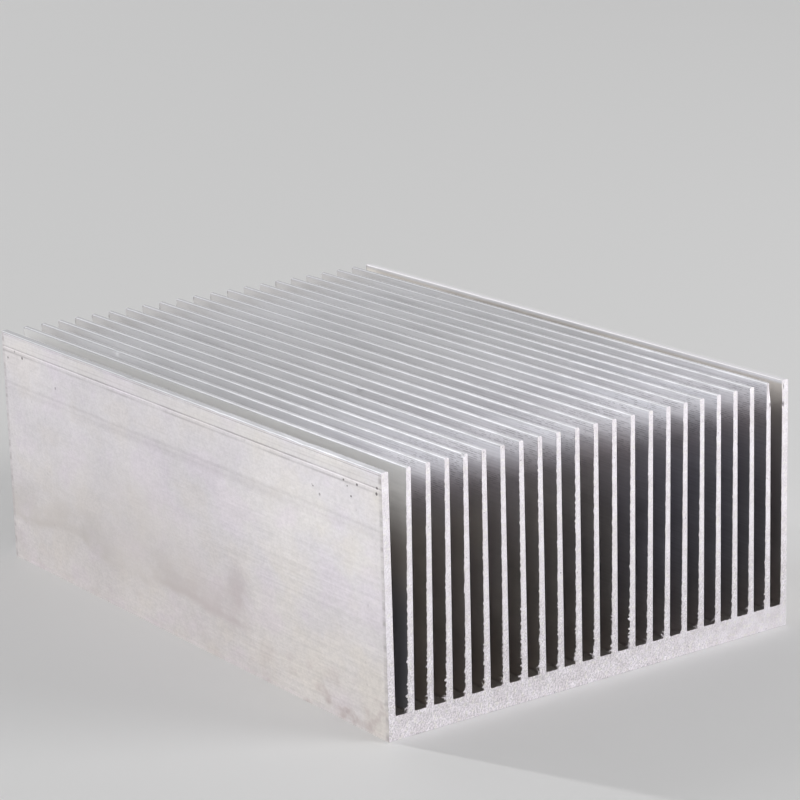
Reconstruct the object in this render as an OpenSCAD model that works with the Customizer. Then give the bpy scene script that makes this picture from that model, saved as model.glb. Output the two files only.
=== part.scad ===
// Extruded aluminium heat sink: a flat base plate that carries a comb of thin upright fins
// between two outer walls. It is one piece of metal, sawn square from a long bar.
// X runs across the fins, Y along the bar and Z up. The origin is the middle of the underside.

/* [Base] */
// Width over the two outer walls
width = 69; // [60:0.5:140]
// Length of the piece sawn from the bar
length = 100; // [30:1:300]
// Thickness of the base plate
base_t = 3.3; // [2:0.1:8]

/* [Fins] */
// Height of the fin tips above the underside
height = 36; // [15:0.5:60]
// Number of upright blades, counting the two outer walls
blade_count = 23; // [6:1:25]
// Thickness of an inner fin at its foot
fin_foot_t = 0.95; // [0.6:0.05:1.3]
// Thickness of an inner fin at its tip
fin_tip_t = 0.7; // [0.4:0.05:1]
// Thickness of each outer wall
wall_t = 1.1; // [0.8:0.1:3]
// Radius where a blade meets the base plate
foot_radius = 0.25; // [0.1:0.05:0.35]

/* [Lean] */
// How far the tip of the first inner fin leans away from the left outer wall
side_lean = 0.6; // [0:0.1:1.4]
// Number of fins over which that lean dies away
side_lean_reach = 3.5; // [1:0.5:10]
// How far the tips lean to the right in the second group of leaning fins
group_lean = 0.4; // [0:0.1:1]
// Fin that leans most in that group, counted from the left outer wall as 0
group_lean_fin = 14.5; // [8:0.5:18]
// Number of fins over which the lean of that group dies away
group_lean_reach = 3.5; // [1:0.5:8]

/* [Hidden] */
// Distance between the centres of neighbouring blades
pitch = (width - wall_t) / (blade_count - 1);
// Flats that make up each round at the foot of a blade
round_flats = 6;
// Height of the centres of those rounds
round_z = base_t + foot_radius;

function is_wall(i) = i == 0 || i == blade_count - 1;
function centre_x(i) = (wall_t - width) / 2 + i * pitch;
function fade(distance, reach) = exp(-pow(distance / reach, 2));

// Sideways offset of a blade's tip. The two outer walls stand straight.
function lean(i) = is_wall(i) ? 0 :
    side_lean * fade(i - 1, side_lean_reach) + group_lean * fade(i - group_lean_fin, group_lean_reach);

// X of a blade's face at its foot and at its tip: side is -1 for the left face, 1 for the right
function foot_x(i, side) = centre_x(i) + side * (is_wall(i) ? wall_t : fin_foot_t) / 2;
function tip_x(i, side) = centre_x(i) + lean(i) + side * (is_wall(i) ? wall_t : fin_tip_t) / 2;

// How far a blade's face is from upright
function slope(i, side) = (tip_x(i, side) - foot_x(i, side)) / (height - base_t);
function face_angle(i, side) = atan(slope(i, side));

// Centre of the round between a blade's face and the base plate, tangent to both
function round_x(i, side) = foot_x(i, side) + foot_radius * (slope(i, side) + side / cos(face_angle(i, side)));

function arc(x, from, to) = [
    for (k = [0 : round_flats])
        let (angle = from + (to - from) * k / round_flats)
        [x + foot_radius * cos(angle), round_z + foot_radius * sin(angle)]
];

// Outline of the gap between blades i and i + 1, down the right side and up the left
function gap(i) = concat(
    [[tip_x(i + 1, -1), height]],
    arc(round_x(i + 1, -1), -face_angle(i + 1, -1), -90),
    arc(round_x(i, 1), 270, 180 - face_angle(i, 1)),
    [[tip_x(i, 1), height]]
);

// Outline of the whole section, anticlockwise from the lower left corner
outline = concat(
    [[-width / 2, 0], [width / 2, 0], [width / 2, height]],
    [for (i = [blade_count - 2 : -1 : 0]) each gap(i)],
    [[-width / 2, height]]
);

module heat_sink() {
    color("gainsboro")
    translate([0, length / 2, 0])
    rotate([90, 0, 0])
    linear_extrude(length)
    polygon(outline);
}

heat_sink();
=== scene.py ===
# %% [markdown]
# # A sawn piece of heat sink extrusion
# The object is one piece of aluminium: a flat base with a comb of thin upright fins, pressed
# through a die as a long bar and then sawn square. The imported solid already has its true
# section, so it is loaded first and gives every place and size that follows.

# %% The fixed frame
import math
import random
import bpy
from mathutils import Matrix, Vector, noise


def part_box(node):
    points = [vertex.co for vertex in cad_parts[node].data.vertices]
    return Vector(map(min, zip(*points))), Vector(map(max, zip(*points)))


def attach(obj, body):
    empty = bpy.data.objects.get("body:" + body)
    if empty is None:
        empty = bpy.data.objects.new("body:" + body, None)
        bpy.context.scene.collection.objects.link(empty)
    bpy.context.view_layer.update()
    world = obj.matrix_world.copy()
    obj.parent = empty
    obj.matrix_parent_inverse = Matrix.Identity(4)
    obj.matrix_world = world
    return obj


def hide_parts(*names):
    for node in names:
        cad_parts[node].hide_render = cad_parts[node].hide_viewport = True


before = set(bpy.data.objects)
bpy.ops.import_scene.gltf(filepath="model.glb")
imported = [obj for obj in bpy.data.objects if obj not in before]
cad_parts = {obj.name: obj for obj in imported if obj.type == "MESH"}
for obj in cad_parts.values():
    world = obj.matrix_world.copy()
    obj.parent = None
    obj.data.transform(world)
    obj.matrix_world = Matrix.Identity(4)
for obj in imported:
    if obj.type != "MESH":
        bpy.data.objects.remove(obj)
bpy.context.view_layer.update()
low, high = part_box("heat_sink")
half_width = high.x
half_length = high.y
tip_height = high.z
MM = 0.001
print("solid spans", [round(v / MM, 1) for v in (high - low)], "mm")

# %% [markdown]
# The places of the blades are read from the solid as well, so that the burrs and the dents
# can be put on a chosen fin. A tip is a flat strip at full height, and its two long edges
# are the only corners that the solid has there. The foot of each blade is at its pitch,
# while the tip of a leaning one isn't.

# %% Where the blades are
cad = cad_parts["heat_sink"]
tip_edges = sorted({round(v.co.x, 6) for v in cad.data.vertices
                    if v.co.z > tip_height - 0.1 * MM and v.co.y < 0})
blades = [(tip_edges[i], tip_edges[i + 1]) for i in range(0, len(tip_edges), 2)]
pitch = (2 * half_width - (blades[0][1] - blades[0][0])) / (len(blades) - 1)
foot_of = [(blades[0][0] + blades[0][1]) / 2 + pitch * i for i in range(len(blades))]
gap_floor = min(v.co.z for v in cad.data.vertices if v.co.z > MM)
print(len(blades), "blades, pitch", round(pitch / MM, 2), "mm")
print("the floor of the gaps is at", round(gap_floor / MM, 2), "mm")

# %% [markdown]
# ## Camera
# A long lens looks slightly down on the corner between the outer wall and the sawn end.
# The camera leans by about a degree and a half, as a hand-levelled one often does. Its three
# axes are built from the angles and set as one matrix, so nothing has to be tracked.

# %% The camera
LENS_MM = 128.6
EYE = Vector((-0.2295, -0.3305, 0.1380))
heading, tilt, roll = math.radians(35.25), math.radians(15.17), math.radians(-1.66)

lens = bpy.data.cameras.new("camera")
lens.sensor_width = 36
lens.lens = LENS_MM
lens.clip_start = 0.01
camera = bpy.data.objects.new("camera", lens)
bpy.context.scene.collection.objects.link(camera)
bpy.context.scene.camera = camera
forward = Vector((math.sin(heading) * math.cos(tilt), math.cos(heading) * math.cos(tilt),
                  -math.sin(tilt)))
level = Vector((math.cos(heading), -math.sin(heading), 0))
upright = level.cross(forward)
right = math.cos(roll) * level + math.sin(roll) * upright
up = math.cos(roll) * upright - math.sin(roll) * level
camera.matrix_world = (Matrix.Translation(EYE)
                       @ Matrix((right, up, -forward)).transposed().to_4x4())
bpy.context.scene.view_settings.view_transform = "Standard"
print("camera", round(EYE.length, 2), "m away, lens", LENS_MM, "mm")

# %% [markdown]
# ## Floor and light
# Bare metal shows what stands round it, so the set matters as much as the finish. The floor
# is plain and pale, and the world is white where it is seen and weaker as a light. A wide
# lamp lights the sawn end. A narrow strip hangs behind, to the left of the comb: its
# light slips past each tip and ends three or four millimetres down the next fin,
# and below that edge the gaps stay dark.

# %% The floor
bpy.ops.object.select_all(action="DESELECT")
bpy.ops.mesh.primitive_plane_add(size=6, location=(0, 0, 0))
floor = bpy.context.object
floor.name = "floor"
paper = bpy.data.materials.new("pale paper")
paper.use_nodes = True
paper_shader = paper.node_tree.nodes["Principled BSDF"]
paper_shader.inputs["Base Color"].default_value = (0.8, 0.8, 0.8, 1)
paper_shader.inputs["Roughness"].default_value = 0.8
floor.data.materials.append(paper)
print("floor", tuple(round(side, 1) for side in floor.dimensions[:2]), "m")

# %% The world
AS_A_LIGHT, AS_SEEN = 0.45, 1.0
world = bpy.data.worlds.new("studio")
bpy.context.scene.world = world
world.use_nodes = True
sky = world.node_tree
backdrop = sky.nodes["Background"]
backdrop.inputs["Color"].default_value = (1, 1, 1, 1)
rays = sky.nodes.new("ShaderNodeLightPath")


def either(a, b):
    """One where either of two kinds of ray is being followed."""
    node = sky.nodes.new("ShaderNodeMath")
    node.operation = "MAXIMUM"
    sky.links.new(a, node.inputs[0])
    sky.links.new(b, node.inputs[1])
    return node.outputs[0]


seen = either(rays.outputs["Is Camera Ray"], rays.outputs["Is Glossy Ray"])
seen = either(seen, rays.outputs["Is Transmission Ray"])
strength = sky.nodes.new("ShaderNodeMapRange")
strength.inputs["To Min"].default_value = AS_A_LIGHT
strength.inputs["To Max"].default_value = AS_SEEN
sky.links.new(seen, strength.inputs["Value"])
sky.links.new(strength.outputs["Result"], backdrop.inputs["Strength"])
print("world strength", AS_SEEN, "where it is seen and", AS_A_LIGHT, "as a light")

# %% The lamps
AIM = Vector((0, 0, 0.02))


def lamp(name, place, breadth, power, height=None):
    """A soft lamp, round or a strip, that looks at the middle of the object."""
    light = bpy.data.lights.new(name, "AREA")
    light.shape = "DISK" if height is None else "RECTANGLE"
    light.size = breadth
    if height is not None:
        light.size_y = height
    light.energy = power
    stand = bpy.data.objects.new(name, light)
    bpy.context.scene.collection.objects.link(stand)
    stand.location = place
    stand.rotation_euler = (AIM - Vector(place)).to_track_quat("-Z", "Y").to_euler()
    print(name, round((AIM - Vector(place)).length, 2), "m away")


lamp("lamp front", place=(0.5, -0.6, 0.3), breadth=0.5, power=3.1)
lamp("lamp behind", place=(-0.97, 2.13, 1.38), breadth=0.1, power=18, height=1.28)

# %% [markdown]
# ## The metal
# The solid is the right form, but it is only flats and sharp corners. The visible piece
# starts as a copy of its mesh, merged, with the flat triangles joined into whole faces,
# and is then cut finer only where there is something to show: near the two sawn ends.

# %% Hands for edit mode
def work_on(piece, kind):
    """Opens a piece in edit mode, alone, with nothing selected."""
    if bpy.context.mode != "OBJECT":
        bpy.ops.object.mode_set(mode="OBJECT")
    bpy.ops.object.select_all(action="DESELECT")
    bpy.context.view_layer.objects.active = piece
    piece.select_set(True)
    bpy.ops.object.mode_set(mode="EDIT")
    bpy.ops.mesh.select_mode(type=kind)
    bpy.ops.mesh.select_all(action="DESELECT")


def pick(piece, kind, rule):
    """Selects the faces, edges or corners of a piece that fit a rule."""
    work_on(piece, kind)
    bpy.ops.object.mode_set(mode="OBJECT")
    mesh = piece.data
    for part in {"FACE": mesh.polygons, "EDGE": mesh.edges, "VERT": mesh.vertices}[kind]:
        part.select = rule(part)
    bpy.ops.object.mode_set(mode="EDIT")


def done():
    """Leaves edit mode."""
    bpy.ops.object.mode_set(mode="OBJECT")


# %% A merged copy of the solid
metal = bpy.data.objects.new("sawn_extrusion", cad.data.copy())
bpy.context.scene.collection.objects.link(metal)
work_on(metal, "FACE")
bpy.ops.mesh.select_all(action="SELECT")
bpy.ops.mesh.remove_doubles(threshold=MM / 1000)
bpy.ops.mesh.dissolve_limited(angle_limit=math.radians(0.5))
done()
print("merged to", len(metal.data.polygons), "faces")

# %% [markdown]
# The long edges of the tips came out of the die slightly rounded, and they catch a thin bright
# line of light. The upright corners where the outer walls meet the sawn ends are a little
# soft too. Both are narrow bevels on edges picked by their place.

# %% Soft corners
TIP_ROUND, CORNER_ROUND = 0.2 * MM, 0.07 * MM


def ends_of(edge):
    """The two corners of an edge of the metal."""
    corners = metal.data.vertices
    return corners[edge.vertices[0]].co, corners[edge.vertices[1]].co


def along_tip(edge):
    """Long edges at the height of the tips."""
    a, b = ends_of(edge)
    return min(a.z, b.z) > tip_height - 0.01 * MM and abs(a.y - b.y) > half_length


def up_sawn_corner(edge):
    """The upright edges where the outer walls meet the two sawn faces."""
    a, b = ends_of(edge)
    return abs(a.y - b.y) < 0.01 * MM and min(abs(a.x), abs(b.x)) > half_width - 0.01 * MM


pick(metal, "EDGE", along_tip)
bpy.ops.mesh.bevel(offset=TIP_ROUND, segments=3, affect="EDGES")
pick(metal, "EDGE", up_sawn_corner)
bpy.ops.mesh.bevel(offset=CORNER_ROUND, segments=2, affect="EDGES")
done()
print("corners softened:", len(metal.data.polygons), "faces")

# %% [markdown]
# A worn die leaves faint lines that run the whole length of the bar. The left wall has two
# thin grooves close under its top edge, a wider one below them, and a broad, very shallow
# one about a quarter of the way down. The right wall has three of its own. Each is three level cuts
# through the wall's face, with the middle line pushed in.

# %% Die lines on the outer walls
def on_wall(face, side):
    """Faces of one outer wall: side is -1 or 1."""
    return face.normal.x * side > 0.9 and face.center.x * side > half_width - 0.3 * MM


def groove(side, below_tip, breadth, depth):
    """A lengthwise line in an outer wall, at a distance below the tips."""
    z = tip_height - below_tip
    pick(metal, "FACE", lambda face: on_wall(face, side))
    bpy.ops.mesh.hide(unselected=True)
    for offset in (-breadth / 2, 0, breadth / 2):
        bpy.ops.mesh.select_all(action="SELECT")
        bpy.ops.mesh.bisect(plane_co=(0, 0, z + offset), plane_no=(0, 0, 1))
    bpy.ops.mesh.reveal(select=False)
    pick(metal, "VERT", lambda v: (v.co.x * side > half_width - 0.1 * MM
                                   and abs(v.co.z - z) < 0.004 * MM))
    bpy.ops.transform.translate(value=(-side * depth, 0, 0))
    done()


# side, distance below the tips, breadth and depth in millimetres
for side, *sizes in ((-1, 0.42, 0.16, 0.03), (-1, 1.45, 0.14, 0.02), (-1, 2.3, 0.34, 0.03),
                     (-1, 8.0, 0.9, 0.02), (1, 0.5, 0.16, 0.05), (1, 3.1, 0.3, 0.03),
                     (1, 12.4, 0.7, 0.02)):
    groove(side, *(size * MM for size in sizes))
print("die lines cut:", len(metal.data.polygons), "faces")

# %% [markdown]
# Thin tips are easily knocked. A few small dents are spread over the comb, each made the same
# way: the top of one blade is cut finer round a place, and the corners near that place are
# pushed down and aside, less and less with distance.

# %% Small dents in the tips
DENT_DEPTH = 0.9 * MM          # the part of a tip that is cut finer


def push(place, reach, move, rule=lambda v: True):
    """Moves the corners round a place, fully at the place and not at all at its reach."""
    count = 0
    for v in metal.data.vertices:
        away = math.sqrt(sum(((v.co[i] - place[i]) / reach[i]) ** 2 for i in range(3)))
        if away < 1 and rule(v):
            v.co += Vector(move) * (1 - away * away) ** 2
            count += 1
    return count


def cut_near(rule, places, axis):
    """Cuts only the faces that fit a rule, at each place, square to an axis."""
    pick(metal, "FACE", rule)
    bpy.ops.mesh.hide(unselected=True)
    for place in places:
        bpy.ops.mesh.select_all(action="SELECT")
        bpy.ops.mesh.bisect(plane_co=[a * place for a in axis], plane_no=axis)
    bpy.ops.mesh.reveal(select=False)
    done()


def dent(blade, y, length, down, aside):
    """Knocks a tip at a distance along the bar, over a length."""
    left, right = blades[blade]
    middle = (left + right) / 2

    def on_blade(face):
        near = left - 0.35 * MM < face.center.x < right + 0.35 * MM
        return near and face.center.z > 0.4 * tip_height and abs(face.normal.y) < 0.5

    cut_near(on_blade, [tip_height - DENT_DEPTH, tip_height - DENT_DEPTH / 2], (0, 0, 1))
    cut_near(lambda face: on_blade(face) and face.center.z > tip_height - DENT_DEPTH,
             [y + length * share for share in (-0.5, -0.3, -0.12, 0, 0.12, 0.3, 0.5)], (0, 1, 0))
    return push((middle, y, tip_height), (2 * MM, length / 2, 0.85 * MM), (aside, 0, -down))


# blade, then the place along the bar, length, drop and sideways push in millimetres
for blade, *sizes in (
        (0, -32, 5.0, 0.1, 0), (0, -24.5, 1.8, 0.09, 0.04), (0, 12, 2.6, 0.1, 0.05),
        (0, -12, 3.6, 0.06, 0), (2, 27, 2.6, 0.1, 0.12), (7, -14, 1.6, 0.07, -0.06),
        (12, 16, 3.0, 0.04, 0.0), (17, -22, 2.0, 0.06, 0.03), (22, 18, 2.6, 0.07, 0)):
    knocked = dent(blade, *(size * MM for size in sizes))
    print("dent in blade", blade, "moved", knocked, "corners")

# %% [markdown]
# The saw drags the metal towards the left side of each blade and leaves a ragged lip there.
# The end faces get two rings close behind them, then level cuts, closer together near
# the foot where the lip is worst, and upright cuts along the foot of the gaps. The
# lip is then pulled out of that fine mesh.

# %% Fine cuts at the sawn ends
LIP, CUT = 0.16 * MM, 0.5 * MM                              # depths of the two rings
FINE, COARSE, COLUMN = 0.12 * MM, 0.25 * MM, 0.19 * MM      # spacing of the cuts
ragged_top = gap_floor + 12 * MM
cut_near(lambda face: True,
         [side * (half_length - depth) for depth in (CUT, LIP) for side in (-1, 1)], (0, 1, 0))


def in_end(face):
    """Faces of the two end slices, with the sawn faces themselves."""
    return abs(face.center.y) > half_length - CUT


foot_low, foot_high = gap_floor - 0.2 * MM, gap_floor + 0.5 * MM
cut_near(in_end, [foot_low, foot_high], (0, 0, 1))
columns = int(half_width / COLUMN)
cut_near(lambda face: in_end(face) and foot_low < face.center.z < foot_high,
         [COLUMN * i for i in range(1 - columns, columns)], (1, 0, 0))
low_cuts = [gap_floor + FINE * (i + 0.1) for i in range(int((ragged_top - gap_floor) / FINE))]
high_cuts = [ragged_top + COARSE * i for i in range(int((tip_height - ragged_top) / COARSE))]
cut_near(in_end, low_cuts + high_cuts, (0, 0, 1))
print(len(low_cuts + high_cuts), "level cuts,", len(metal.data.polygons), "faces")

# %% [markdown]
# The lip is irregular in two ways: a slow wave, where the blade grabbed more or less, and small
# torn teeth. It is longest at the foot, where the chips packed, and worse on the left
# half of the comb. Noise that depends only on the place gives the same lip in every run.
# Sizes here are in millimetres.

# %% The ragged lip
ROUGH_LIPS = 14          # blades left of this one were cut more roughly


def rag(z, blade, end, size):
    """Noise between about -1 and 1 that changes over a height in millimetres."""
    return 1.6 * noise.noise(Vector((z / size, 5.3 * blade + 0.37, 11.7 * end + 2.1)))


def lip_length(place, blade, end):
    """How far the lip stands out of the blade's side at this place.

    It is a slow wave, small teeth that grow towards the foot, torn pieces within about
    two millimetres of it, and a heap in the corner itself."""
    z = place.z / MM
    rise = max(0.0, z - gap_floor / MM)
    strength = (0.85 + 0.4 * rag(0, blade, end, 1.0)) * (1.2 if blade < ROUGH_LIPS else 0.65)
    wave = 0.02 * rag(z, blade, end, 3.4) + 0.03 * rag(z, blade, end, 1.1)
    serration = (0.8 * max(0.0, rag(z, blade, end, 0.36))
                 + 1.8 * max(0.0, rag(z + 40, blade, end, 0.16)))
    torn = max(0.0, rag(z + 80, blade, end, 0.45) - 0.1) * math.exp(-rise / 1.8)
    corner = math.exp(-rise / 0.35) * (0.4 + 0.6 * serration)
    amount = 0.05 + 0.24 * math.exp(-rise / 6.5)
    return MM * max(0.0, wave + strength * (amount * serration + 0.6 * torn) + 0.16 * corner)


def side_normals(mesh):
    """For each corner in an end face, the mean normal of the side faces round it."""
    found = {}
    for face in mesh.polygons:
        if abs(face.normal.y) > 0.5:
            continue
        for v in face.vertices:
            if abs(mesh.vertices[v].co.y) > half_length - MM / 1000:
                found[v] = found.get(v, Vector((0, 0, 0))) + face.normal
    return {v: n.normalized() for v, n in found.items()}


corners = metal.data.vertices
moved, longest = 0, 0.0
for v, outward in side_normals(metal.data).items():
    point = corners[v].co
    end = 1 if point.y > 0 else 0
    blade = int((point.x + half_width + 0.7 * pitch) / pitch)
    if outward.z > 0.9 and point.z < gap_floor + 0.3 * MM:
        waviness = noise.noise(Vector((point.x / MM * 2.9, end, 4.4)))
        point.z += 0.07 * MM * max(0.0, waviness + 0.2)
    if outward.x > -0.25 or point.x < -half_width + MM / 2:
        continue
    stretch = lip_length(point, blade, end) * -outward.x
    jitter = 0.5 * FINE * noise.noise(Vector((point.z / MM * 7.1, blade * 3.7, end)))
    point += outward * stretch + Vector((0, 0, jitter))
    point.z = min(point.z, tip_height)
    moved += 1
    longest = max(longest, stretch)
metal.data.update()
print("lip pulled out at", moved, "corners, up to", round(longest / MM, 2), "mm")

# %% [markdown]
# Some ends are worn rather than ragged. One fin has a nick in its front top corner, the last fin
# before the right wall is scuffed over its top few millimetres, and the right wall has
# a small chip in its inner edge. The sawn faces are first cut finer there. At the
# end every corner is held within the length of the solid.

# %% Worn corners at the front
front = -half_length
nicked, scuffed, wall = blades[4], blades[21], blades[22]


def at_front(v):
    """Corners close to the front end."""
    return v.co.y < front + 2 * CUT


def keep_inside(piece):
    """Holds a piece's corners within the length of the solid."""
    for v in piece.data.vertices:
        v.co.y = max(-half_length, min(half_length, v.co.y)) * (1 - 1e-6)


for (left, right), drop in ((nicked, 1.2 * MM), (scuffed, 4 * MM), (wall, 5 * MM)):
    cut_near(lambda face: (face.normal.y < -0.9 and left < face.center.x < right
                           and face.center.z > tip_height - drop),
             [left + 0.22 * MM, left + 0.42 * MM], (1, 0, 0))
# the edge, then in millimetres how far below the tip, the reach and the move
for edge, below_tip, reach, move in (
        (nicked[0], 0.1, (0.4, 0.6, 0.5), (0.2, 0.22, -0.2)),
        (scuffed[1], 0.4, (0.75, 0.5, 3.0), (-0.05, 0.26, 0)),
        (wall[0], 3.5, (0.33, 0.4, 0.6), (0.1, 0.12, 0))):
    worn = push((edge, front, tip_height - below_tip * MM), [size * MM for size in reach],
                [size * MM for size in move], at_front)
    print("worn corner at", round(edge / MM, 1), "mm:", worn, "corners moved")
keep_inside(metal)
metal.data.update()

# %% [markdown]
# ## Saw chips
# Where the lip is worst, whole chips still hang on it. They are far too thin for the solid,
# and are a separate small piece. One chip is modelled: a flattened cone drawn out in
# three bends that curl. It is then copied with its own size and turn each time.

# %% One chip
bpy.ops.object.select_all(action="DESELECT")
bpy.ops.mesh.primitive_cone_add(vertices=5, radius1=0.1 * MM, radius2=0.07 * MM, depth=0.14 * MM,
                                location=(0, 0, 0.03 * MM))
chip = bpy.context.object
chip.name = "saw_burrs"
bpy.ops.object.transform_apply(location=True, rotation=True, scale=True)
work_on(chip, "FACE")
BEND, STEP_MM = math.radians(28), 0.13
for bends, narrow in ((1, 0.8), (2, 0.75), (3, 0.3)):
    done()
    furthest = max(chip.data.polygons, key=lambda face: face.center.length).index
    pick(chip, "FACE", lambda face: face.index == furthest)
    onward = Vector((math.sin(BEND * bends), 0, math.cos(BEND * bends)))
    bpy.ops.mesh.extrude_region_move(TRANSFORM_OT_translate={"value": onward * STEP_MM * MM})
    bpy.ops.transform.resize(value=(narrow, narrow, narrow))
bpy.ops.mesh.select_all(action="SELECT")
bpy.ops.transform.resize(value=(1, 0.5, 1), center_override=(0, 0, 0))
bpy.ops.mesh.normals_make_consistent(inside=False)
done()
print("one chip:", len(chip.data.polygons), "faces")

# %% Chips along the foot of the fins
ROUGH_FEET = 15          # blades left of this one have more chips
chance = random.Random(21)
chips = []
for end in (-1, 1):
    for blade in range(1, len(blades) - 1):
        at_foot = chance.choice((3, 4, 5, 6) if blade < ROUGH_FEET else (1, 2, 3))
        up_fin = chance.choice((3, 5, 8) if blade < ROUGH_FEET else (1, 3))
        for i in range(at_foot + up_fin):
            in_heap = i < at_foot
            rise = 0.1 + (0.7 if in_heap else 9.0) * chance.random() ** 1.5
            size = chance.uniform(1.0, 2.1) if in_heap else chance.uniform(0.5, 1.1)
            # the root lies just inside the blade's left face, which the taper moves inwards
            # with height, and a little deeper in the heap
            side_x = 0.43 * MM - 0.09 * MM * rise / 9 - 0.05 * MM * in_heap
            copy = chip.copy()
            copy.data = chip.data.copy()
            bpy.context.scene.collection.objects.link(copy)
            turn = (Matrix.Rotation(math.radians(chance.uniform(-50, 65)), 4, "Y")
                    @ Matrix.Rotation(math.radians(-90), 4, "Y")
                    @ Matrix.Rotation(math.radians(chance.uniform(0, 360)), 4, "Z"))
            lean = (blades[blade][0] + blades[blade][1]) / 2 - foot_of[blade]
            x = foot_of[blade] + lean * rise * MM / (tip_height - gap_floor) - side_x
            y = end * (half_length - 0.1 * MM * size - 0.02 * MM)
            copy.data.transform(Matrix.Translation(Vector((x, y, gap_floor + rise * MM)))
                                @ turn @ Matrix.Scale(size, 4))
            chips.append(copy)
bpy.data.objects.remove(chip)
bpy.ops.object.select_all(action="DESELECT")
for copy in chips:
    copy.select_set(True)
bpy.context.view_layer.objects.active = chips[0]
bpy.ops.object.join()
burrs = chips[0]
burrs.name = "saw_burrs"
keep_inside(burrs)
print(len(chips), "chips,", sum(len(f.vertices) - 2 for f in burrs.data.polygons), "triangles")

# %% [markdown]
# ## Finishes
# Mill-finish aluminium has two faces. The skin that slid through the die has fine lines along
# the bar and dull clouds, and the sawn face is a bright, grainy scatter of tiny cuts.
# Both are one metal, so they share their colour and differ in grain. Every pattern is noise on
# the object's own coordinates, scaled so that its fineness is written per millimetre.
#
# A finish is built up like thin paint: a base colour, and then one faint layer after another,
# each laid where a mask lets it through. A mask is a value from 0 to 1. The helpers keep
# that short. They all add their nodes to `tree`, the node tree of the metal being made.

# %% Starting a metal
tree = None


def metal_shader(name, colour, roughness):
    """Starts a bare metal: gives the material and its shader node."""
    global tree
    made = bpy.data.materials.new(name)
    made.use_nodes = True
    tree = made.node_tree
    shader = tree.nodes["Principled BSDF"]
    shader.inputs["Base Color"].default_value = (*colour, 1)
    shader.inputs["Metallic"].default_value = 1
    shader.inputs["Roughness"].default_value = roughness
    return made, shader


def drawn(shader, amount):
    """Spreads the shine across the bar, as the fine lines that run along it do."""
    across = tree.nodes.new("ShaderNodeTangent")
    across.direction_type = "RADIAL"
    across.axis = "Y"
    shader.inputs["Anisotropic"].default_value = amount
    tree.links.new(across.outputs["Tangent"], shader.inputs["Tangent"])


def paint(shader, colour, roughness=None):
    """Gives a metal its finished colour, and its roughness where that varies too."""
    tree.links.new(colour, shader.inputs["Base Color"])
    if roughness is not None:
        tree.links.new(roughness, shader.inputs["Roughness"])
    print("finish done, with", len(tree.nodes), "nodes")


def relief(shader, value, depth, strength, under=None):
    """Adds relief of a depth in millimetres, on top of a coarser one if there is one."""
    node = tree.nodes.new("ShaderNodeBump")
    node.inputs["Distance"].default_value = depth * MM
    node.inputs["Strength"].default_value = strength
    tree.links.new(value, node.inputs["Height"])
    if under is not None:
        tree.links.new(under, node.inputs["Normal"])
    tree.links.new(node.outputs["Normal"], shader.inputs["Normal"])
    return node.outputs["Normal"]


# %% Masks
def feed(socket, value):
    """Gives a node's input a number, a colour or another node's output."""
    if isinstance(value, bpy.types.NodeSocket):
        tree.links.new(value, socket)
    else:
        socket.default_value = (*value, 1) if isinstance(value, tuple) else value


def sums(operation, a, b=0.0):
    """Arithmetic on two values."""
    node = tree.nodes.new("ShaderNodeMath")
    node.operation = operation
    feed(node.inputs[0], a)
    feed(node.inputs[1], b)
    return node.outputs["Value"]


def times(first, *others):
    """The product of several values: a mask that needs all of them."""
    for other in others:
        first = sums("MULTIPLY", first, other)
    return first


def fade(value, start, end, low=0.0, high=1.0):
    """Runs smoothly from low to high as the value goes from start to end."""
    node = tree.nodes.new("ShaderNodeMapRange")
    node.interpolation_type = "SMOOTHSTEP"
    feed(node.inputs["Value"], value)
    for name, number in (("From Min", start), ("From Max", end),
                         ("To Min", low), ("To Max", high)):
        node.inputs[name].default_value = number
    return node.outputs["Result"]


def spread(value, centre, reach):
    """One at a centre and nothing beyond a reach on either side of it."""
    away = sums("ABSOLUTE", sums("SUBTRACT", value, centre))
    return fade(away, 0, reach, 1.0, 0.0)


# %% Layers of colour
def blend(factor, a, b, kind="MIX"):
    """Mixes two colours."""
    node = tree.nodes.new("ShaderNodeMix")
    node.data_type = "RGBA"
    node.blend_type = kind
    for socket, value in zip((node.inputs[0], node.inputs[6], node.inputs[7]), (factor, a, b)):
        feed(socket, value)
    return node.outputs[2]


def tinted(colour, tint, factor=1.0):
    """Multiplies a colour by a tint or by a pattern of light and dark."""
    return blend(factor, colour, tint, "MULTIPLY")


# %% Patterns and places
def on_object():
    """The object's own coordinates."""
    return tree.nodes.new("ShaderNodeTexCoord").outputs["Object"]


def grain(per_mm, detail=3.0, turn=0.0, seed=0.0):
    """Noise with its fineness along X, Y and Z per millimetre, turned about Y by an angle."""
    turned = tree.nodes.new("ShaderNodeMapping")
    turned.inputs["Rotation"].default_value = (0, turn, 0)
    scaled = tree.nodes.new("ShaderNodeMapping")
    scaled.inputs["Scale"].default_value = [f / MM for f in per_mm]
    scaled.inputs["Location"].default_value = (seed, seed, seed)
    texture = tree.nodes.new("ShaderNodeTexNoise")
    texture.inputs["Scale"].default_value = 1
    texture.inputs["Detail"].default_value = detail
    tree.links.new(on_object(), turned.inputs["Vector"])
    tree.links.new(turned.outputs["Vector"], scaled.inputs["Vector"])
    tree.links.new(scaled.outputs["Vector"], texture.inputs["Vector"])
    return texture.outputs["Fac"]


def along(axis):
    """One of the object's coordinates, in millimetres."""
    parts = tree.nodes.new("ShaderNodeSeparateXYZ")
    tree.links.new(on_object(), parts.inputs["Vector"])
    return sums("DIVIDE", parts.outputs[axis], MM)


def under_tips():
    """The distance below the tips, in millimetres."""
    return sums("SUBTRACT", tip_height / MM, along("Z"))


END_MM, FLOOR_MM = half_length / MM, gap_floor / MM
print("masks count in millimetres, up to", round(END_MM, 1), "from the middle of the bar")

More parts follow.
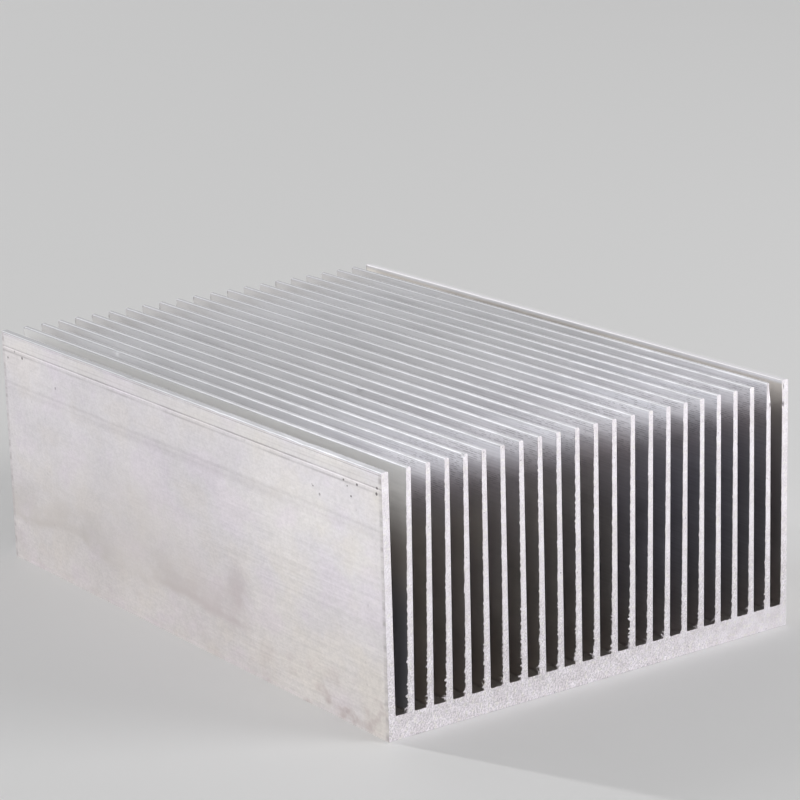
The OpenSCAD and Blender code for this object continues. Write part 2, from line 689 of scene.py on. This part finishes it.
# %% [markdown]
# ### The outer skin
# The outer skin is nearly white and almost even. What gives it life is faint: lilac and straw
# clouds a centimetre across, a tide mark low on the wall where something dried, a few
# brown spots near the foot of the front corner, hairlines along the bar, dark traces
# in the die lines, and pits that cluster near the upper corners.

# %% The outer skin, clouds
skin, shader = metal_shader("outer skin", (0.86, 0.83, 0.86), 0.45)
drawn(shader, 0.7)
z_mm, y_mm, below = along("Z"), along("Y"), under_tips()
clouds = grain((0.09, 0.06, 0.1), 5.0)
colour = blend(fade(clouds, 0.42, 0.58), (0.92, 0.892, 0.885), (0.945, 0.915, 0.945))
# painted shade: the wall is painted darker towards the rear, and towards its foot
colour = blend(fade(y_mm, -42, 0, 0.0, 0.82), colour, (0.77, 0.74, 0.765))
colour = blend(fade(z_mm, 2, 26, 0.55, 0.0), colour, (0.705, 0.665, 0.64))
hairlines = grain((7.0, 0.06, 7.0), 3.0, seed=3.0)
colour = tinted(colour, fade(hairlines, 0.3, 0.7, 0.98, 1.015))
mottle = grain((0.14, 0.1, 0.14), 4.0, seed=51.0)
straw, lilac = (1.0, 0.988, 0.95), (1.0, 0.965, 1.03)
colour = tinted(colour, straw, fade(mottle, 0.5, 0.64, 0.0, 0.55))
colour = tinted(colour, lilac, fade(mottle, 0.5, 0.36, 0.0, 0.5))
for per_mm, amount in ((0.8, 0.022), (3.0, 0.045)):
    speckle = grain((per_mm, 0.7 * per_mm, per_mm), 3.0, seed=50 + per_mm)
    colour = tinted(colour, fade(speckle, 0.3, 0.7, 1 - amount, 1 + 0.9 * amount))
# longer lines show lower down, most of all near the front
bare = times(fade(below, 8, 16), fade(y_mm, -30, 15, 1.0, 0.2))
lines = fade(grain((3.0, 0.1, 3.0), 4.0, seed=59.0), 0.3, 0.7, 0.955, 1.03)
colour = blend(bare, colour, tinted(colour, lines))
print("skin with its clouds:", len(tree.nodes), "nodes")

# %% The outer skin, stains
# the tide mark wanders up and down. It has a crisp lower edge and fades out upwards and
# towards the front, where a narrow pinkish stain ends it
mark_height = fade(grain((0.0, 0.04, 0.0), 3.0, seed=31.0), 0.3, 0.7, 5.2, 8.6)
edge = sums("SUBTRACT", z_mm, mark_height)
band = times(fade(edge, -0.8, 0.5), fade(edge, 1.0, 9.0, 1.0, 0.0))
rim = times(spread(edge, 0.5, 1.0), 0.35)
patchy = fade(grain((0.25, 0.16, 0.25), 5.0, seed=33.0), 0.34, 0.6, 0.15, 0.7)
mark = times(sums("ADD", band, rim), patchy, fade(y_mm, -19, -13))
brown = blend(fade(y_mm, -12, 14, 1.0, 0.0), (0.66, 0.62, 0.60), (0.66, 0.60, 0.605))
colour = blend(mark, colour, brown)
cloudy = times(spread(y_mm, 14, 26), spread(z_mm, 14, 12), fade(clouds, 0.4, 0.6, 0.5, 0.1))
colour = blend(cloudy, colour, (0.68, 0.64, 0.62))
ragged = fade(grain((0.3, 0.25, 0.3), 5.0, seed=41.0), 0.36, 0.6, 0.1, 1.0)
pink = times(spread(y_mm, -15, 4), spread(z_mm, 10.5, 7), ragged, 0.62)
colour = blend(pink, colour, (0.63, 0.56, 0.57))
# brown spots near the foot of the front corner
spots = fade(grain((0.4, 0.3, 0.4), 5.0, seed=37.0), 0.48, 0.68, 0.0, 0.75)
near_foot = times(fade(z_mm, 1.5, 9, 1.0, 0.0), fade(y_mm, -44, -12, 1.0, 0.2))
colour = blend(times(spots, near_foot), colour, (0.58, 0.50, 0.49))
print("and with its stains:", len(tree.nodes), "nodes")


# %% The outer skin, traces of the die
def trace(centre_mm, breadth_mm, darkness):
    """A dark line along the bar, at a distance below the tips, that comes and goes."""
    wander = fade(grain((0.0, 0.08, 0.0), 2.0, seed=centre_mm), 0.35, 0.6, 0.35, 1.0)
    return times(spread(below, centre_mm, breadth_mm / 2), wander, darkness)


for centre_mm, breadth_mm, darkness in ((0.42, 0.24, 0.5), (1.0, 0.2, 0.12), (1.45, 0.3, 0.3),
                                        (2.25, 0.55, 0.6), (2.9, 0.5, 0.45), (8.4, 2.6, 0.2)):
    colour = blend(trace(centre_mm, breadth_mm, darkness), colour, (0.40, 0.37, 0.38))
# a straw-coloured band between the die lines
band = times(fade(below, 0.5, 0.9), fade(below, 1.9, 2.3, 0.25, 0.0))
colour = blend(band, colour, (0.86, 0.84, 0.80))
# a dotted shadow down the sawn corner
near_end = fade(sums("ABSOLUTE", y_mm), END_MM - 0.9, END_MM - 0.35)
dots = fade(grain((0.0, 0.0, 0.9), 5.0, seed=5.0), 0.4, 0.65, 0.15, 0.7)
colour = blend(times(near_end, dots), colour, (0.48, 0.45, 0.46))
print("and with the traces:", len(tree.nodes), "nodes")

# %% The outer skin, pits
cells = tree.nodes.new("ShaderNodeTexVoronoi")
cells.inputs["Scale"].default_value = 0.55 / MM
tree.links.new(on_object(), cells.inputs["Vector"])
spot = fade(cells.outputs["Distance"], 0.07, 0.16, 1.0, 0.0)
few = fade(grain((0.35, 0.3, 0.35), 1.0, seed=11.0), 0.49, 0.53)
upper = times(fade(below, 1.8, 2.4), fade(below, 5.0, 7.5, 1.0, 0.12))
towards_ends = fade(sums("ABSOLUTE", y_mm), 26, 40, 0.1, 1.0)
pits = times(spot, few, upper, towards_ends)
# the deepest ones sit near the front corner: place along the bar and below the tips, and size
for place_y, place_below, size in ((-49.0, 2.2, 0.25), (-44.6, 2.75, 0.24), (-41.6, 2.75, 0.2),
                                   (-43.2, 4.6, 0.2), (-42.4, 3.4, 0.14), (-34.5, 5.2, 0.15)):
    pit = times(spread(y_mm, place_y, 1.3 * size), spread(below, place_below, size), 1.4)
    pits = sums("MAXIMUM", pits, pit)
colour = blend(sums("MINIMUM", pits, 0.9), colour, (0.12, 0.10, 0.11))
paint(shader, colour, fade(clouds, 0.3, 0.7, 0.5, 0.42))
waves = relief(shader, grain((0.5, 0.03, 0.5), 2.0, seed=9.0), 0.03, 0.3)
relief(shader, hairlines, 0.008, 0.25, waves)

# %% [markdown]
# ### The comb
# The faces inside the comb came out of narrow slots in the die, so their lines are stronger
# than on the outside and change from fin to fin. Where the slot chattered, the lines
# break up into rows of short dashes. Their shine spreads up and down the fin, which
# is why light from above reaches only the top few millimetres.

# %% The fin faces, lines and chatter
CHATTER_MM = 0.28
inner, shader = metal_shader("fin faces", (0.715, 0.712, 0.755), 0.5)
drawn(shader, 0.8)
x_mm, y_mm, z_mm, below = along("X"), along("Y"), along("Z"), under_tips()
streaks = grain((5.0, 0.06, 5.0), 4.0)
per_fin = grain((0.22, 0.004, 0.03), 2.0, seed=4.0)
colour = blend(fade(per_fin, 0.35, 0.65), (0.69, 0.68, 0.715), (0.74, 0.74, 0.785))
colour = tinted(colour, fade(streaks, 0.3, 0.7, 0.9, 1.05))
rows = fade(sums("SINE", times(z_mm, math.tau / CHATTER_MM)), -0.2, 0.6)
dashes = times(rows, fade(grain((3.0, 1.0, 3.6), 2.0, seed=13.0), 0.47, 0.55))
here_and_there = fade(grain((0.3, 0.08, 0.3), 2.0, seed=15.0), 0.36, 0.56)
near_front = fade(y_mm, 3 - END_MM, 18 - END_MM, 1.0, 0.06)
chatter = times(dashes, here_and_there, near_front, fade(below, 4, 7, 1.0, 0.1))
colour = blend(times(chatter, 0.7), colour, (0.36, 0.35, 0.38))
print("fin faces with their lines:", len(tree.nodes), "nodes")

# %% The fin faces, wear
# painted light: near the front the top two millimetres of each face are painted lighter, and a
# brown film lies under that
rubbed_and_lit = times(fade(below, 1.4, 2.4, 1.0, 0.0), fade(y_mm, -46, -28, 1.0, 0.1))
colour = blend(rubbed_and_lit, colour, tinted(colour, (1.18, 1.18, 1.17)))
film = fade(grain((0.3, 0.006, 0.03), 1.0, seed=67.0), 0.38, 0.5, 0.25, 1.0)
film = times(film, spread(below, 5, 4.5))
colour = blend(film, colour, tinted(colour, (1.0, 0.955, 0.935)))
# painted shade: the comb is painted darker towards the rear, and darkest at the rear end
colour = blend(fade(y_mm, -45, 0, 0.0, 0.75), colour, (0.62, 0.62, 0.63))
colour = blend(fade(y_mm, 36, 50, 0.0, 0.8), colour, (0.50, 0.485, 0.48))
# the inner face of the right wall is warmer, with a long brown stain close below its tip
on_right_wall = fade(x_mm, 32.4, 32.6)
warmer = times(on_right_wall, fade(below, 0.2, 0.8, 0.0, 0.9))
colour = blend(warmer, colour, (0.69, 0.65, 0.605))
blotchy = fade(grain((0.3, 0.15, 0.6), 4.0, seed=71.0), 0.3, 0.6, 0.3, 1.0)
stain = times(on_right_wall, spread(below, 1.2, 1.0), spread(y_mm, 12, 34), blotchy)
colour = blend(stain, colour, (0.36, 0.33, 0.31))
print("and with their wear:", len(tree.nodes), "nodes")

# %% The fin faces, deep in the gaps
# painted light: below the top few millimetres the faces are painted lighter, most of all in the
# gaps on the left. The gaps on the right are a little blue there, the foot of every gap is a little
# brown, and the floor of each gap gets painted shade
from_fin_to_fin = fade(grain((0.3, 0.006, 0.05), 1.0, seed=43.0), 0.4, 0.6, -0.3, 0.3)
bluer = sums("ADD", fade(x_mm, -2, 12), from_fin_to_fin)
painted_deep_light = blend(bluer, (0.86, 0.82, 0.785), (0.82, 0.79, 0.85))
deep_in_gaps = times(fade(below, 3, 10), fade(x_mm, -30, 25, 0.95, 0.25))
colour = blend(deep_in_gaps, colour, painted_deep_light)
colour = blend(fade(z_mm, FLOOR_MM, FLOOR_MM + 12, 0.5, 0.0), colour, (0.74, 0.68, 0.64))
# painted shade: the floor of each gap is painted dark
colour = blend(fade(z_mm, FLOOR_MM, FLOOR_MM + 0.6, 0.8, 0.0), colour, (0.44, 0.41, 0.39))
paint(shader, colour, fade(grain((0.4, 0.05, 0.4), 3.0, seed=2.0), 0.3, 0.7, 0.46, 0.54))
rough = relief(shader, streaks, 0.02, 0.6)
relief(shader, chatter, 0.015, 0.5, rough)

# %% [markdown]
# The first gap, behind the left outer wall, is the widest and the easiest to reach. Its faces
# are matt, so light from above washes much further down there. Their colour is painted light,
# lightest a few millimetres down, and painted shade deeper, brownish and then grey.

# %% The first gap
first_gap, shader = metal_shader("first gap", (0.88, 0.87, 0.86), 0.62)
drawn(shader, 0.4)
below = under_tips()
smears = grain((2.0, 0.06, 1.5), 4.0, seed=47.0)
# painted light and shade: lighter than the other fin faces, and darker again with depth
colour = blend(fade(smears, 0.3, 0.7), (0.82, 0.81, 0.80), (0.90, 0.89, 0.88))
colour = blend(fade(below, 0, 5, 0.6, 0.0), colour, (0.66, 0.66, 0.665))
colour = blend(fade(below, 5, 12, 0.0, 0.9), colour, (0.595, 0.56, 0.54))
colour = blend(fade(below, 13, 21, 0.0, 0.9), colour, (0.47, 0.47, 0.50))
paint(shader, colour)
relief(shader, smears, 0.02, 0.4)

# %% [markdown]
# The tips were the last thing to cool and the first thing that hands and racks touch. They
# are plain and dull, with no drawn shine, so they don't flare in the light from behind.

# %% The tips
worn_tips, shader = metal_shader("tips", (0.68, 0.68, 0.71), 0.55)
rubbed_and_lit = grain((2.5, 0.12, 2.5), 4.0, seed=17.0)
bruises = grain((0.9, 0.3, 0.9), 3.0, seed=19.0)
colour = blend(fade(bruises, 0.38, 0.62), (0.58, 0.58, 0.605), (0.67, 0.67, 0.70))
colour = tinted(colour, fade(rubbed_and_lit, 0.3, 0.7, 0.93, 1.05))
# painted shade: the tips are painted darker towards the rear
colour = blend(fade(along("Y"), -40, 20, 0.0, 0.9), colour, (0.42, 0.42, 0.435))
# the right wall's is broader and has kept its shine
colour = blend(fade(along("X"), 33.2, 33.3), colour, (0.64, 0.63, 0.65))
paint(shader, colour)
relief(shader, rubbed_and_lit, 0.02, 0.4)

# %% [markdown]
# ### The sawn ends
# The saw leaves thousands of little facets that point every way. They are made as two noises:
# round grains, and short strokes that lean from the upright as the teeth passed. Each
# changes both the colour and the relief, and a slow drift makes some patches pinker
# and some yellower. The contrast is strongest on the base, where most metal was cut.

# %% The sawn face, facets
sawn, shader = metal_shader("sawn face", (0.82, 0.79, 0.83), 0.5)
x_mm, z_mm, below = along("X"), along("Z"), under_tips()
grains = grain((4.2, 4.2, 4.2), 3.0)
strokes = grain((5.0, 3.0, 1.2), 2.0, turn=math.radians(-24), seed=6.0)
facets = sums("ADD", times(grains, 0.6), times(strokes, 0.4))
patches = grain((0.45, 0.3, 0.45), 4.0, seed=8.0)
tints = grain((1.6, 1.6, 1.6), 2.0, seed=23.0)
colour = blend(fade(patches, 0.38, 0.62), (0.76, 0.725, 0.755), (0.84, 0.81, 0.85))
colour = blend(fade(tints, 0.52, 0.66, 0.0, 0.6), colour, (0.84, 0.82, 0.79))
colour = blend(fade(tints, 0.48, 0.34, 0.0, 0.6), colour, (0.80, 0.76, 0.80))
cut, smooth, even = (tinted(colour, fade(facets, 0.38, 0.62, darkest, lightest))
                     for darkest, lightest in ((0.76, 1.15), (0.98, 1.09), (0.93, 0.99)))
colour = blend(fade(z_mm, FLOOR_MM, FLOOR_MM + 14, 0.0, 0.8), cut, smooth)
# the right end of the base is the evenest, and the left end of the face is the whitest
calm = times(fade(x_mm, 8, 30, 0.0, 0.85), fade(z_mm, FLOOR_MM, FLOOR_MM + 3, 1.0, 0.0))
colour = blend(calm, colour, even)
colour = tinted(colour, fade(x_mm, -34, -18, 1.05, 1.0))
print("sawn face with its facets:", len(tree.nodes), "nodes")

# %% The sawn face, scratches and bruises
# a few straight scratches lean across the base: level lines of noise, turned
lines = fade(grain((2.4, 0.0, 0.0), 1.0, turn=math.radians(45), seed=61.0), 0.4, 0.35)
on_base = times(fade(z_mm, FLOOR_MM, FLOOR_MM - 0.6), spread(x_mm, 2, 11),
                fade(tints, 0.4, 0.55, 0.2, 0.8))
colour = blend(times(lines, on_base), colour, (0.60, 0.57, 0.59))
# small dark bruises near the upper right corner: place and size along X, then below the tips
for place_x, size_x, place_below, size_below in ((33.62, 0.2, 3.5, 0.7), (33.6, 0.16, 0.9, 0.6),
                                                 (31.15, 0.3, 3.1, 0.5)):
    bruise = times(spread(x_mm, place_x, size_x), spread(below, place_below, size_below),
                   fade(grains, 0.3, 0.55, 0.5, 1.0))
    colour = blend(bruise, colour, (0.22, 0.20, 0.21))
specks = fade(grain((2.2, 2.2, 2.2), 1.0, seed=27.0), 0.29, 0.25, 0.0, 0.7)
colour = blend(specks, colour, (0.35, 0.33, 0.35))
paint(shader, colour)
under = relief(shader, strokes, 0.03, 0.4)
relief(shader, grains, 0.03, 0.4, under)

# %% [markdown]
# Each face then gets its finish by its place and by the way it points. The two end slices
# hold the sawn faces and the ragged lip, and the lip's steep sides are cut metal too.

# %% Each face gets its finish
OUTSIDE, FIN, SAWN, TIP, FIRST_GAP = range(5)
metal.data.materials.clear()
for finish in (skin, inner, sawn, worn_tips, first_gap):
    metal.data.materials.append(finish)


def finish_of(face):
    """Which finish a face of the metal has."""
    across, place = abs(face.normal.y), face.center
    steep = across > 0.75 or (across > 0.3 and face.normal.z < -0.1)
    if abs(place.y) > half_length - CUT and steep:
        return SAWN
    if face.normal.z > 0.1 and place.z > tip_height - 0.3 * MM:
        return TIP
    if abs(place.x) > half_width - 0.08 * MM or place.z < 0.08 * MM:
        return OUTSIDE
    if place.x < blades[1][0] + 0.1 * MM and place.z > gap_floor + 0.5 * MM:
        return FIRST_GAP
    return FIN


count = [0] * len(metal.data.materials)
for face in metal.data.polygons:
    face.material_index = finish_of(face)
    count[face.material_index] += 1
print("faces in each finish:", dict(zip([m.name for m in metal.data.materials], count)))

# %% The piece takes the solid's place
burrs.data.materials.clear()
burrs.data.materials.append(sawn)
for piece in (metal, burrs):
    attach(piece, "root")
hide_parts("heat_sink")
print(sum(len(f.vertices) - 2 for f in metal.data.polygons), "triangles")
